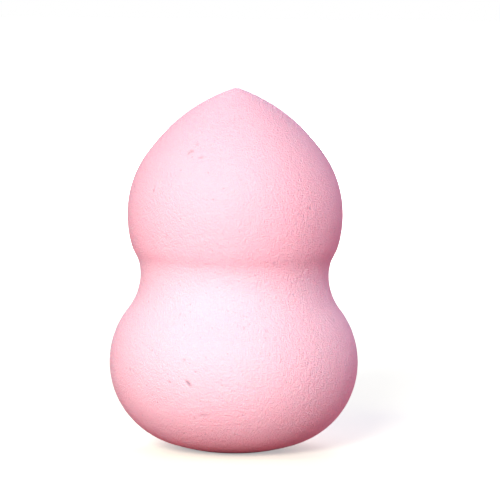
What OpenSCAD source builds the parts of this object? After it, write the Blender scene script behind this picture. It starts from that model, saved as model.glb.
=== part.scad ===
// Gourd shaped makeup sponge, ground from one block of open cell foam.
// Millimetres, +Z up. The origin is the middle of the flat foot that it stands on.
// The outline is a chain of arcs, each tangent to the next, turned once round the Z axis.

/* [Base] */
// Radius of the shallow dome under the belly
base_r = 35; // [30:0.5:50]
// Depth that the dome is flattened by where the sponge stands
foot_depth = 0.5; // [0.3:0.1:0.8]

/* [Belly] */
// Widest diameter of the belly, the larger lower bulb
belly_d = 41.2; // [38:0.1:45]
// Height of the belly's widest level above the foot
belly_h = 14.6; // [13:0.1:16]

/* [Waist] */
// Height of the narrowest level above the belly's widest level
waist_rise = 14.3; // [13:0.1:17]
// Depth that the waist is drawn in by from the side of the belly
waist_depth = 4.9; // [4:0.1:6]
// Radius of the hollow round the waist
hollow_r = 9; // [6:0.1:11]

/* [Crown] */
// Height of the widest level of the crown, the smaller upper bulb, above the waist
crown_rise = 10.4; // [9:0.1:12]
// Width that the crown swells out by past the waist
crown_swell = 2.1; // [1.6:0.1:2.6]
// Radius of the outline from the crown's widest level up to the flank
crown_r = 17.2; // [16:0.1:18.5]

/* [Pointed end] */
// Height of the tip above the top that a round crown would have
point_h = 3.5; // [2.5:0.1:4.5]
// Radius of the flank that runs down from the tip to the crown
flank_r = 29; // [26:0.5:36]
// Radius of the rounded tip
tip_r = 2; // [1:0.1:3]

/* [Hidden] */
foam_pink = "#F8C3D7";
// Steps of the outline round its arcs, and of the turn round the Z axis, in degrees
outline_step = 3;
turn_step = 2;

// Distances from the axis to the sides of the belly, the waist and the crown
belly_reach = belly_d / 2;
waist_reach = belly_reach - waist_depth;
crown_reach = waist_reach + crown_swell;

// Heights of the waist, the crown's widest level and the tip above the foot
waist_z = belly_h + waist_rise;
crown_z = waist_z + crown_rise;
tip_z = crown_z + crown_r + point_h;
// Height of the belly's widest level above the lowest point of the whole dome
belly_lift = belly_h + foot_depth;

// Sum of the radii of two arcs that run as an S from one upright end to the other,
// with rise between their ends in height and reach between them in width
function ogee_sum(rise, reach) = (rise * rise + reach * reach) / (2 * reach);

// Radii that follow from the arcs being tangent
haunch_r = (2 * belly_lift * base_r - belly_lift * belly_lift - belly_reach * belly_reach)
    / (2 * (base_r - belly_reach));
shoulder_r = ogee_sum(waist_rise, waist_depth) - hollow_r;
underside_r = ogee_sum(crown_rise, crown_swell) - hollow_r;

// Centre of a circle that lies ra from a and rb from b, on the left of the way from a to b
function met_centre(a, ra, b, rb) =
    let (way = b - a)
    let (gap = norm(way))
    let (along = (gap * gap + ra * ra - rb * rb) / (2 * gap))
    let (aside = sqrt(ra * ra - along * along))
    a + (along * way + aside * [-way.y, way.x]) / gap;

// Centres of the arcs, as distance from the axis and height above the foot
base_c = [0, base_r - foot_depth];
haunch_c = [belly_reach - haunch_r, belly_h];
shoulder_c = [belly_reach - shoulder_r, belly_h];
hollow_c = [waist_reach + hollow_r, waist_z];
underside_c = [crown_reach - underside_r, crown_z];
crown_c = [crown_reach - crown_r, crown_z];
tip_c = [0, tip_z - tip_r];
flank_c = met_centre(crown_c, flank_r - crown_r, tip_c, flank_r - tip_r);

// Direction from p to q, in degrees up from level
function bearing(p, q) = atan2(q.y - p.y, q.x - p.x);

// Directions at which one arc hands over to the next
haunch_a = bearing(base_c, haunch_c);
shoulder_a = bearing(shoulder_c, hollow_c);
underside_a = bearing(underside_c, hollow_c);
flank_a = bearing(flank_c, crown_c);
tip_a = bearing(flank_c, tip_c);

// Points of an arc from one direction to another, without the last, where the next arc begins
function arc(c, r, from, to) =
    let (steps = ceil(abs(to - from) / outline_step))
    [for (i = [0 : steps - 1])
        let (a = from + (to - from) * i / steps)
        c + r * [cos(a), sin(a)]];

// Half outline with its dome whole, from the dome's lowest point up to the tip and back along the axis
module round_half_outline() {
    polygon(concat(
        arc(base_c, base_r, -90, haunch_a),
        arc(haunch_c, haunch_r, haunch_a, 0),
        arc(shoulder_c, shoulder_r, 0, shoulder_a),
        arc(hollow_c, hollow_r, shoulder_a + 180, underside_a + 180),
        arc(underside_c, underside_r, underside_a, 0),
        arc(crown_c, crown_r, 0, flank_a),
        arc(flank_c, flank_r, flank_a, tip_a),
        arc(tip_c, tip_r, tip_a, 90),
        [[0, tip_z]]
    ));
}

// The same with the dome cut flat at the foot
module half_outline() {
    intersection() {
        round_half_outline();
        square([belly_d, tip_z]);
    }
}

module foam_body() {
    color(foam_pink)
        rotate_extrude($fn = 360 / turn_step)
            half_outline();
}

foam_body();
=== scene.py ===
"""A makeup sponge of fine ground foam, standing on its foot on a pale floor under soft studio light.

The foam is one closed mesh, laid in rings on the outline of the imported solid. Its relief is real geometry
down to about a millimetre, and the nap of the ground foam, which is finer, is bump in its material.
"""

import math
from typing import NamedTuple

import bpy
import numpy as np
from mathutils import Matrix, Vector, noise


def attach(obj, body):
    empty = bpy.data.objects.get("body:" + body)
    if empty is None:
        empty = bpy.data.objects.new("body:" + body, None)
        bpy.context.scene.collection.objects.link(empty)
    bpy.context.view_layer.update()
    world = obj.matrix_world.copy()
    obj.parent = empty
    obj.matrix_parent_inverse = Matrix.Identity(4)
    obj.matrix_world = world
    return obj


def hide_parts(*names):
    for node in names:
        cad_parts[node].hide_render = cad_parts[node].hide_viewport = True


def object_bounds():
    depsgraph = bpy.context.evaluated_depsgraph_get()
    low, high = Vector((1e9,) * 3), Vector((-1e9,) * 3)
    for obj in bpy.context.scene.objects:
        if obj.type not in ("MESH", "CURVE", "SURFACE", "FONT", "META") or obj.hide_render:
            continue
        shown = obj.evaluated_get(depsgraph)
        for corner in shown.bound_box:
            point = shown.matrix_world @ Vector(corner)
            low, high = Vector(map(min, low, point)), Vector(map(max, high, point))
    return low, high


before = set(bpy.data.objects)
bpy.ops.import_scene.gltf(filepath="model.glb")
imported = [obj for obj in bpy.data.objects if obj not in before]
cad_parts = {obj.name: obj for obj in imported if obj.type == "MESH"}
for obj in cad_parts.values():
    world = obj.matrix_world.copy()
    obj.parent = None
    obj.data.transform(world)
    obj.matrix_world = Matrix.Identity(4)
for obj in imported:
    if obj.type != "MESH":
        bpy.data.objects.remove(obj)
cad_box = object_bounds()

MM = 0.001

# Camera: a little above the sponge, and rolled a little because the sponge leans in the frame
SENSOR_W = 36 * MM
LENS = 260 * MM
CAMERA_REACH = 596 * MM
CAMERA_ELEVATION = 5
FRAME_PX = 500
TIP_PX = Vector((236.4, 88.0))
FOOT_PX = Vector((232.7, 449.2))

# Foam mesh: how far apart its rings and the points of a ring lie, and the least gap between outline points
RING_STEP = 0.272 * MM
LEAST_GAP = 0.05 * MM

# Relief above and below the outline, which fades out towards the foot
LUMP_SIZE = 11 * MM
LUMP_HEIGHT = 0.04 * MM
LUMP_SHIFT = 3.7
NAP_SIZE = 0.9 * MM
NAP_HEIGHT = 0.02 * MM
NAP_SHIFT = 11.3
FADE_HEIGHT = 1.0 * MM

# The fold line of the waist, a slightly steeper band in the overhang under the crown
FOLD_LEVEL = 32.3 * MM
FOLD_HALF = 1.3 * MM
FOLD_REACH = 5 * MM
FOLD_DEPTH = 0.15 * MM

# Random marks on the sides and the back. FRONT_EDGE is how far round to the front they go, as a share
# of the distance from the axis. The ranges are in millimetres, but the stretch is a factor on the length.
MARK_SEED = 7
MARK_COUNT = 26
FRONT_EDGE = -0.3
MARK_LENGTH = (0.25, 0.8)
MARK_STRETCH = (1, 1.7)
MARK_WIDTH = (0.35, 0.45)
MARK_DEPTH = (0.03, 0.08)

# Passes that find the place on the sponge under a pixel
SIGHT_PASSES = 8

# Foam colours, as linear red, green and blue
RIDGE_PINK = (0.94, 0.665, 0.755, 1)
# Deeper pink of the patches, and painted shade in the nap's pits
PIT_SHADE_AND_PATCH_PINK = (0.88, 0.545, 0.64, 1)
# Grey of the marks, and painted shade in the pinholes
PINHOLE_SHADE_AND_MARK_GREY = (0.32, 0.27, 0.34, 1)
# Painted shade on the crown
CROWN_SHADE_PINK = (0.91, 0.53, 0.63, 1)

# Shares of those colours: of the ridges at the foot of the nap, and what the nap's height adds to it as
# painted shade in the pits, of the pores in patches, of the painted shade on the crown, and of the grey in
# marks and as painted shade in pinholes
RIDGE_SHARE = 0.80
NAP_SHADE_SHARE = 0.08
PATCH_SHARE = 0.12
CROWN_SHADE_SHARE = 0.6
PINHOLE_SHADE_SHARE = 0.38
MARK_SHARE = 0.85

# Depth at which a mark has its full colour
FULL_MARK = 0.12 * MM

# The crown is painted a deeper pink than the belly, as painted shade, from one level to another
CROWN_SHADE_FROM = 26 * MM
CROWN_SHADE_FULL = 38 * MM

# Texture of the ground foam, as features in a millimetre
RIDGES_PER_MM = 4.4
PITS_PER_MM = 2.4
PINHOLES_PER_MM = 1.15
SWELLS_PER_MM = 1.9
PATCHES_PER_MM = 0.16

# Values of those textures at which a ridge, a pit, a patch or a pinhole begins and is full. The chosen
# cells are the ones that have a pinhole.
RIDGE_RANGE = (0.36, 0.64)
PIT_RANGE = (0.55, 0.05)
PATCH_RANGE = (0.6, 0.35)
PINHOLE_RANGE = (0.24, 0.10)
CHOSEN_RANGE = (0.7, 1.0)

# Heights of the bump in millimetres, and how deep a pit is beside a ridge's height
NAP_RELIEF = 0.058
SWELL_RELIEF = 0.065
PINHOLE_RELIEF = 0.05
PIT_DEPTH = 0.5

# Gloss of the foam: dull, and a little less so on top of the nap
ROUGHNESS = 0.70
NAP_SMOOTHING = 0.12
GLOSS = 0.3

# Share of the light that scatters under the surface, and how far red, green and blue go in millimetres
SCATTERED = 0.3
SCATTER_REACH = (2.5, 0.8, 1.0)

# Light of the sky, and the white that the camera sees of it and of the floor's glow
WHITE = (1, 1, 1, 1)
SKY_LIGHT = (0.25, 0.205, 0.355, 1)

# The floor: its paint, the warmer paint with which it lights the sponge, and its own glow from near
# the sponge to far from it, with the distances at which those two are reached
FLOOR_PAINT = (0.78, 0.92, 0.74, 1)
FLOOR_BOUNCE = (0.45, 0.17, 0.19, 1)
FLOOR_ROUGHNESS = 0.9
NEAR_GLOW = 0.4
FAR_GLOW = 1.1
NEAR_REACH = 0.12
FAR_REACH = 0.45
FLOOR_WIDTH = 6.0

# Distance of the lamps from the waist
LAMP_REACH = 1.0


class Lamp(NamedTuple):
    """A square or oblong lamp aimed at the waist, with its sizes in metres.

    A white surface that faces it is as bright as its level says, times its tint. A lamp low behind
    the sponge isn't glossy, because the nap would glint along the edge that the camera sees.
    """

    azimuth: float
    elevation: float
    width: float
    height: float
    level: float
    tint: tuple
    glossy: bool = True


# Tints of the lamps. The key is rose because the photograph overexposes its reds.
ROSE = (0.93, 0.84, 0.79)
AMBER = (1.0, 0.90, 0.42)
WARM = (1.0, 0.62, 0.70)
PALE = (1.0, 0.83, 0.96)
BLUSH = (1.0, 0.95, 0.93)
LAMPS = {
    "key": Lamp(-15, 20, 0.3, 0.3, 1.29, ROSE),
    "left_top": Lamp(-40, 40, 0.4, 0.4, 0.18, AMBER),
    "right_rim": Lamp(135, 5, 0.3, 0.1, 0.26, WARM),
    "back": Lamp(180, 35, 0.6, 0.6, 0.38, PALE),
    "rear": Lamp(180, 8, 0.3, 0.2, 0.5, BLUSH, glossy=False),
}


class Mark(NamedTuple):
    """A small dent or crease: where it shows, its heading in the picture, and its sizes in millimetres."""

    pixel: tuple
    heading: float
    length: float
    width: float = 0.4
    depth: float = 0.08


FRONT_MARKS = {
    "crescent_side": Mark((189.0, 153.0), 80, 0.6, 0.4, 0.12),
    "crescent_top": Mark((191.5, 151.0), -5, 0.9, 0.4, 0.10),
    "crease_by_crescent": Mark((201.0, 157.3), 22, 0.9, 0.35, 0.10),
    "dash_over_crescent": Mark((197.5, 144.2), 0, 0.5),
    "left_pinhole": Mark((153.2, 191.2), 0, 0.3, 0.4, 0.12),
    "waist_left_crease": Mark((167.0, 236.0), 30, 0.5),
    "waist_v": Mark((274.0, 263.0), -50, 0.5),
    "shoulder_dot": Mark((310.0, 208.0), 0, 0.3, 0.4, 0.10),
    "belly_top_dot": Mark((180.0, 314.0), 0, 0.3),
    "belly_left_dash": Mark((184.4, 360.0), -60, 0.4),
    "slash": Mark((188.3, 383.4), -43, 1.2, 0.4, 0.15),
    "slash_neighbour": Mark((169.5, 382.0), 25, 0.5),
    "left_v_long": Mark((130.0, 369.6), -60, 0.6),
    "left_v_short": Mark((133.3, 371.4), -30, 0.3),
    "low_left_dot": Mark((129.5, 399.0), 40, 0.4, 0.4, 0.05),
    "long_crease": Mark((203.5, 415.3), 9, 1.9, 0.4, 0.06),
    "right_dot": Mark((334.0, 320.0), 0, 0.3),
    "mid_smudge": Mark((267.0, 331.0), 0, 0.5, 0.5, 0.05),
    "low_right_dot": Mark((287.0, 382.0), 0, 0.3),
}


def direction(azimuth, elevation):
    """Unit vector from the sponge to a place round it. Azimuth 0 is the front and 90 the right."""
    a, e = math.radians(azimuth), math.radians(elevation)
    return Vector((math.sin(a) * math.cos(e), -math.cos(a) * math.cos(e), math.sin(e)))


def sight(pixel):
    """Where a pixel's line of sight runs in the camera's own axes, one unit deep."""
    half = FRAME_PX / 2
    scale = SENSOR_W / LENS / FRAME_PX
    return Vector(((pixel[0] - half) * scale, (half - pixel[1]) * scale, -1))


def make_camera():
    """The camera, placed so that the tip and the foot come where the photograph has them."""
    data = bpy.data.cameras.new("camera")
    data.sensor_width = SENSOR_W / MM
    data.lens = LENS / MM
    camera = bpy.data.objects.new("camera", data)
    bpy.context.collection.objects.link(camera)
    axis_px = TIP_PX - FOOT_PX
    lean = math.atan2(axis_px.x, -axis_px.y)
    turn = direction(0, CAMERA_ELEVATION).to_track_quat("Z", "Y").to_matrix()
    turn = turn @ Matrix.Rotation(lean, 3, "Z")
    tip = Vector((0, 0, cad_box[1].z))
    place = tip - turn @ sight(TIP_PX) * CAMERA_REACH
    camera.matrix_world = Matrix.Translation(place) @ turn.to_4x4()
    bpy.context.scene.camera = camera
    return camera


def outline_of(node):
    """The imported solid's outline from foot to tip, as rows of distance from the axis and height."""
    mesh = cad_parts[node].data
    co = np.empty(3 * len(mesh.vertices))
    mesh.vertices.foreach_get("co", co)
    x, y, z = co.reshape(-1, 3).T
    rows = np.c_[np.hypot(x, y), z]
    turn = np.arctan2(z - z.max() / 2, rows[:, 0])
    rows = rows[np.argsort(turn)]
    kept = [rows[0]]
    for row in rows[1:]:
        if np.linalg.norm(row - kept[-1]) > LEAST_GAP:
            kept.append(row)
    return np.array(kept)


def smoothed(rows, step):
    """Points a step apart on a smooth curve through the rows, which arrives level at the tip."""
    rows = rows.copy()
    rows[-1, 0] = 0
    past_tip = rows[-4:-1][::-1] * (-1, 1)
    knots = np.vstack([rows, past_tip])
    gaps = np.linalg.norm(np.diff(knots, axis=0), axis=1)
    t = np.concatenate([[0], np.cumsum(gaps)])
    slopes = np.gradient(knots, t, axis=0, edge_order=2)
    end = t[len(rows) - 1]
    at = np.linspace(0, end, round(end / step) + 1)
    i = np.clip(np.searchsorted(t, at, side="right") - 1, 0, len(rows) - 2)
    width = (t[i + 1] - t[i])[:, None]
    s = (at - t[i])[:, None] / width
    return (
        (2 * s**3 - 3 * s**2 + 1) * knots[i]
        + (s**3 - 2 * s**2 + s) * width * slopes[i]
        + (3 * s**2 - 2 * s**3) * knots[i + 1]
        + (s**3 - s**2) * width * slopes[i + 1]
    )


def whole_outline(node, step):
    """The outline with its flat foot, from the middle of the foot to the tip."""
    side = smoothed(outline_of(node), step)
    foot_r = side[0, 0]
    across = np.linspace(0, foot_r, round(foot_r / step), endpoint=False)
    foot = np.c_[across, np.zeros_like(across)]
    return np.vstack([foot, side])


def zipped(n, m, first, second):
    """Triangles between a ring of n points and the next ring of m points."""
    tris = []
    if n > 1:
        i = np.arange(n)
        j = -(((n - (2 * i + 1) * m)) // (2 * n))
        tris.append(np.c_[first + i, first + (i + 1) % n, second + j % m])
    if m > 1:
        j = np.arange(m)
        i = ((2 * j + 1) * n - m) // (2 * m) + 1
        tris.append(np.c_[first + i % n, second + (j + 1) % m, second + j])
    return tris


def turned(outline, step):
    """Places, outward directions and triangles of the outline turned about the axis."""
    run = np.gradient(outline, axis=0)
    run /= np.linalg.norm(run, axis=1)[:, None]
    counts = np.maximum(np.rint(math.tau * outline[:, 0] / step), 1).astype(int)
    places, normals, tris = [], [], []
    first = 0
    for k, ((r, z), (along_r, along_z), n) in enumerate(zip(outline, run, counts)):
        a = math.tau * np.arange(n) / n
        places.append(np.c_[r * np.cos(a), r * np.sin(a), np.full(n, z)])
        normals.append(np.c_[along_z * np.cos(a), along_z * np.sin(a), np.full(n, -along_r)])
        if k + 1 < len(counts):
            tris += zipped(n, counts[k + 1], first, first + n)
        first += n
    return np.vstack(places), np.vstack(normals), np.vstack(tris)


def field(places, size, shift):
    """Smooth noise from -1 to 1 at each place, with features of the given size."""
    shifted = places / size + shift
    return np.array([noise.noise(p) for p in shifted.tolist()])


def fold(z):
    """Relief of the waist's fold line: out above it and in below it."""
    away = z - FOLD_LEVEL
    return FOLD_DEPTH * np.tanh(away / FOLD_HALF) * np.exp(-((away / FOLD_REACH) ** 2))


def surface_under(pixel, camera, outline):
    """The place on the front of the sponge that shows at a pixel of the frame."""
    side = outline[outline[:, 1] > 0]
    start = camera.matrix_world.translation
    ray = camera.matrix_world.to_3x3() @ sight(pixel)
    place = start - ray * (start.y / ray.y)
    for _ in range(SIGHT_PASSES):
        r = np.interp(place.z, side[:, 1], side[:, 0])
        depth = -math.sqrt(max(r * r - place.x**2, 0))
        place = start + ray * ((depth - start.y) / ray.y)
    return place


def dent(places, centre, along, length, width):
    """How far each place lies inside a mark, from 0 to 1."""
    away = places - np.array(centre)
    forward = away @ np.array(along)
    aside = np.linalg.norm(away - forward[:, None] * np.array(along), axis=1)
    return np.exp(-((2 * forward / (length * MM)) ** 4) - (2 * aside / (width * MM)) ** 2)


def front_dents(places, camera, outline):
    """Each mark that the photograph shows, as its share at each place and its depth."""
    turn = camera.matrix_world.to_3x3()
    for mark in FRONT_MARKS.values():
        centre = surface_under(mark.pixel, camera, outline)
        a = math.radians(mark.heading)
        radial = Vector((centre.x, centre.y, 0)).normalized()
        along = turn @ Vector((math.cos(a), math.sin(a), 0))
        along = (along - radial * along.dot(radial)).normalized()
        yield dent(places, centre, along, mark.length, mark.width), mark.depth * MM


def random_dents(places, normals):
    """Marks like those of the front, scattered over the sides and the back."""
    random = np.random.default_rng(MARK_SEED)
    behind = places[:, 1] / np.hypot(places[:, 0], places[:, 1]).clip(LEAST_GAP)
    elsewhere = np.flatnonzero((behind > FRONT_EDGE) & (places[:, 2] > 2 * FADE_HEIGHT))
    for k in random.choice(elsewhere, MARK_COUNT, replace=False):
        along = np.cross(normals[k], random.normal(size=3))
        along /= np.linalg.norm(along)
        length = random.uniform(*MARK_LENGTH) * random.uniform(*MARK_STRETCH)
        width = random.uniform(*MARK_WIDTH)
        depth = random.uniform(*MARK_DEPTH)
        yield dent(places, places[k], along, length, width), depth * MM


def make_foam(camera):
    """The whole sponge as one closed mesh, with its marks in a vertex attribute as well."""
    outline = whole_outline("foam_body", RING_STEP)
    places, normals, tris = turned(outline, RING_STEP)
    height = LUMP_HEIGHT * field(places, LUMP_SIZE, LUMP_SHIFT)
    height += NAP_HEIGHT * field(places, NAP_SIZE, NAP_SHIFT)
    height += fold(places[:, 2])
    marked = np.zeros(len(places))
    for share, depth in [*front_dents(places, camera, outline), *random_dents(places, normals)]:
        height -= depth * share
        marked = np.maximum(marked, share * depth / FULL_MARK)
    fade = np.clip(places[:, 2] / FADE_HEIGHT, 0, 1)
    places = places + normals * (height * fade)[:, None]

    mesh = bpy.data.meshes.new("foam")
    mesh.from_pydata(places.tolist(), [], tris.tolist())
    mesh.polygons.foreach_set("use_smooth", [True] * len(mesh.polygons))
    attribute = mesh.attributes.new("marked", "FLOAT", "POINT")
    attribute.data.foreach_set("value", np.clip(marked, 0, 1))
    mesh.update()
    foam = bpy.data.objects.new("foam", mesh)
    bpy.context.collection.objects.link(foam)
    return foam


def new_material(name):
    """A material with an empty node tree, and its output node."""
    material = bpy.data.materials.new(name)
    material.use_nodes = True
    material.node_tree.nodes.clear()
    return material, material.node_tree, material.node_tree.nodes.new("ShaderNodeOutputMaterial")


def add(tree, kind, inputs=None, **settings):
    """A new node, with its settings and with each input set to a number or linked to a socket."""
    made = tree.nodes.new("ShaderNode" + kind)
    for name, value in settings.items():
        setattr(made, name, value)
    for name, value in (inputs or {}).items():
        if isinstance(value, bpy.types.NodeSocket):
            tree.links.new(value, made.inputs[name])
        else:
            made.inputs[name].default_value = value
    return made


def calc(tree, operation, *values):
    """The result of a math node on sockets and numbers."""
    return add(tree, "Math", dict(enumerate(values)), operation=operation).outputs[0]


def blend(tree, factor, first, second):
    """A colour between first and second."""
    mixed = add(tree, "Mix", {0: factor, 6: first, 7: second}, data_type="RGBA")
    return mixed.outputs[2]


def fitted(tree, value, low, high):
    """A value's place from low to high, eased and held between 0 and 1."""
    inputs = {"Value": value, "From Min": low, "From Max": high}
    return add(tree, "MapRange", inputs, interpolation_type="SMOOTHSTEP").outputs[0]


def nap_height(tree, in_mm):
    """Height of the nap: short ridges, and between them the cut cells of the foam as pits."""
    ridge_inputs = {"Vector": in_mm, "Scale": RIDGES_PER_MM, "Detail": 1.0, "Roughness": 0.5}
    ridges = add(tree, "TexNoise", ridge_inputs).outputs["Fac"]
    cells = add(tree, "TexVoronoi", {"Vector": in_mm, "Scale": PITS_PER_MM}).outputs["Distance"]
    pits = fitted(tree, cells, *PIT_RANGE)
    return calc(tree, "MULTIPLY_ADD", pits, -PIT_DEPTH, fitted(tree, ridges, *RIDGE_RANGE))


def pinhole_depth(tree, in_mm):
    """Pinholes in some of the cells of a net, from 0 to 1."""
    cells = add(tree, "TexVoronoi", {"Vector": in_mm, "Scale": PINHOLES_PER_MM})
    chosen = add(tree, "SeparateColor", {0: cells.outputs["Color"]}).outputs[0]
    near = fitted(tree, cells.outputs["Distance"], *PINHOLE_RANGE)
    return calc(tree, "MULTIPLY", near, fitted(tree, chosen, *CHOSEN_RANGE))


def foam_colour(tree, in_mm, nap, pinholes):
    """Pink of the foam: paler on the nap's ridges and deeper in its pits as painted shade, deeper in
    patches, deeper on the crown as painted shade, greyer in its marks, and grey in its pinholes as painted
    shade.
    """
    # The nap's height paints shade in its pits: deeper pink there, paler on the ridges
    share = calc(tree, "MULTIPLY_ADD", nap, NAP_SHADE_SHARE, RIDGE_SHARE)
    pink = blend(tree, share, PIT_SHADE_AND_PATCH_PINK, RIDGE_PINK)

    patch_inputs = {"Vector": in_mm, "Scale": PATCHES_PER_MM, "Detail": 3.0}
    patches = fitted(tree, add(tree, "TexNoise", patch_inputs).outputs["Fac"], *PATCH_RANGE)
    pink = blend(tree, calc(tree, "MULTIPLY", patches, PATCH_SHARE), pink, PIT_SHADE_AND_PATCH_PINK)

    # Painted shade on the crown: a deeper pink towards the tip
    height = add(tree, "SeparateXYZ", {0: in_mm}).outputs["Z"]
    crown = fitted(tree, height, CROWN_SHADE_FROM / MM, CROWN_SHADE_FULL / MM)
    pink = blend(tree, calc(tree, "MULTIPLY", crown, CROWN_SHADE_SHARE), pink, CROWN_SHADE_PINK)

    # Painted shade in the pinholes
    pink = blend(tree, calc(tree, "MULTIPLY", pinholes, PINHOLE_SHADE_SHARE), pink, PINHOLE_SHADE_AND_MARK_GREY)
    marked = add(tree, "Attribute", attribute_name="marked").outputs["Fac"]
    return blend(tree, calc(tree, "MULTIPLY", marked, MARK_SHARE), pink, PINHOLE_SHADE_AND_MARK_GREY)


def foam_bump(tree, in_mm, nap, pinholes):
    """Bumped normal of the nap, over low swells and with the pinholes sunk in."""
    swell_inputs = {"Vector": in_mm, "Scale": SWELLS_PER_MM, "Detail": 0.0}
    swells = add(tree, "TexNoise", swell_inputs).outputs["Fac"]
    depth = calc(tree, "MULTIPLY", pinholes, -PINHOLE_RELIEF)
    uneven = calc(tree, "MULTIPLY_ADD", swells, SWELL_RELIEF, depth)
    relief = calc(tree, "MULTIPLY_ADD", nap, NAP_RELIEF, uneven)
    bump_inputs = {"Strength": 1.0, "Distance": MM, "Filter Width": 1.0, "Height": relief}
    return add(tree, "Bump", bump_inputs).outputs[0]


def foam_material():
    """Ground foam: a felt-like nap of short ridges with pinholes between them, in pale pink."""
    material, tree, output = new_material("ground_foam")
    place = add(tree, "TexCoord").outputs["Object"]
    in_mm = add(tree, "VectorMath", {0: place, "Scale": 1 / MM}, operation="SCALE").outputs[0]
    nap = nap_height(tree, in_mm)
    pinholes = pinhole_depth(tree, in_mm)
    surface = add(
        tree,
        "BsdfPrincipled",
        {
            "Base Color": foam_colour(tree, in_mm, nap, pinholes),
            "Roughness": calc(tree, "MULTIPLY_ADD", nap, -NAP_SMOOTHING, ROUGHNESS),
            "Normal": foam_bump(tree, in_mm, nap, pinholes),
            "Specular IOR Level": GLOSS,
            "Subsurface Weight": SCATTERED,
            "Subsurface Radius": SCATTER_REACH,
            "Subsurface Scale": MM,
        },
    )
    tree.links.new(surface.outputs[0], output.inputs["Surface"])
    return material


def make_floor():
    """A pale floor that looks white and keeps the sponge's shadow, but throws little light up."""
    material, tree, output = new_material("pale_floor")
    seen = add(tree, "LightPath").outputs["Is Camera Ray"]
    place = add(tree, "TexCoord").outputs["Object"]
    away = add(tree, "VectorMath", {0: place}, operation="LENGTH").outputs["Value"]
    far = fitted(tree, away, NEAR_REACH, FAR_REACH)
    glow = calc(tree, "MULTIPLY_ADD", far, FAR_GLOW - NEAR_GLOW, NEAR_GLOW)
    paint = blend(tree, seen, FLOOR_BOUNCE, FLOOR_PAINT)
    surface = add(
        tree,
        "BsdfPrincipled",
        {
            "Base Color": paint,
            "Roughness": FLOOR_ROUGHNESS,
            "Specular IOR Level": 0.0,
            "Emission Color": WHITE,
            "Emission Strength": calc(tree, "MULTIPLY", seen, glow),
        },
    )
    tree.links.new(surface.outputs[0], output.inputs["Surface"])
    half = FLOOR_WIDTH / 2
    corners = [(-half, -half, 0), (half, -half, 0), (half, half, 0), (-half, half, 0)]
    mesh = bpy.data.meshes.new("floor")
    mesh.from_pydata(corners, [], [(0, 1, 2, 3)])
    mesh.materials.append(material)
    floor = bpy.data.objects.new("floor", mesh)
    bpy.context.collection.objects.link(floor)


def make_world():
    """An even, slightly violet sky, which the camera sees as plain white."""
    world = bpy.data.worlds.new("studio")
    bpy.context.scene.world = world
    world.use_nodes = True
    tree = world.node_tree
    tree.nodes.clear()
    seen = add(tree, "LightPath").outputs["Is Camera Ray"]
    colour = blend(tree, seen, SKY_LIGHT, WHITE)
    sky = add(tree, "Background", {"Color": colour, "Strength": 1.0})
    output = tree.nodes.new("ShaderNodeOutputWorld")
    tree.links.new(sky.outputs[0], output.inputs["Surface"])


def make_lamp(name, lamp):
    """One lamp of the table, out of the camera's sight."""
    data = bpy.data.lights.new(name, "AREA")
    data.shape = "RECTANGLE"
    data.size = lamp.width
    data.size_y = lamp.height
    data.color = lamp.tint
    # This power makes a white surface at that distance as bright as the level
    data.energy = lamp.level * math.pi**2 * LAMP_REACH**2
    toward = direction(lamp.azimuth, lamp.elevation)
    waist = Vector((0, 0, cad_box[1].z / 2))
    place = Matrix.Translation(waist + toward * LAMP_REACH)
    made = bpy.data.objects.new(name, data)
    made.matrix_world = place @ toward.to_track_quat("Z", "Y").to_matrix().to_4x4()
    made.visible_camera = False
    made.visible_glossy = lamp.glossy
    bpy.context.collection.objects.link(made)


def main():
    bpy.context.scene.view_settings.view_transform = "Standard"
    camera = make_camera()
    foam = make_foam(camera)
    foam.data.materials.append(foam_material())
    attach(foam, "root")
    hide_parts("foam_body")
    make_floor()
    make_world()
    for name, lamp in LAMPS.items():
        make_lamp(name, lamp)


main()
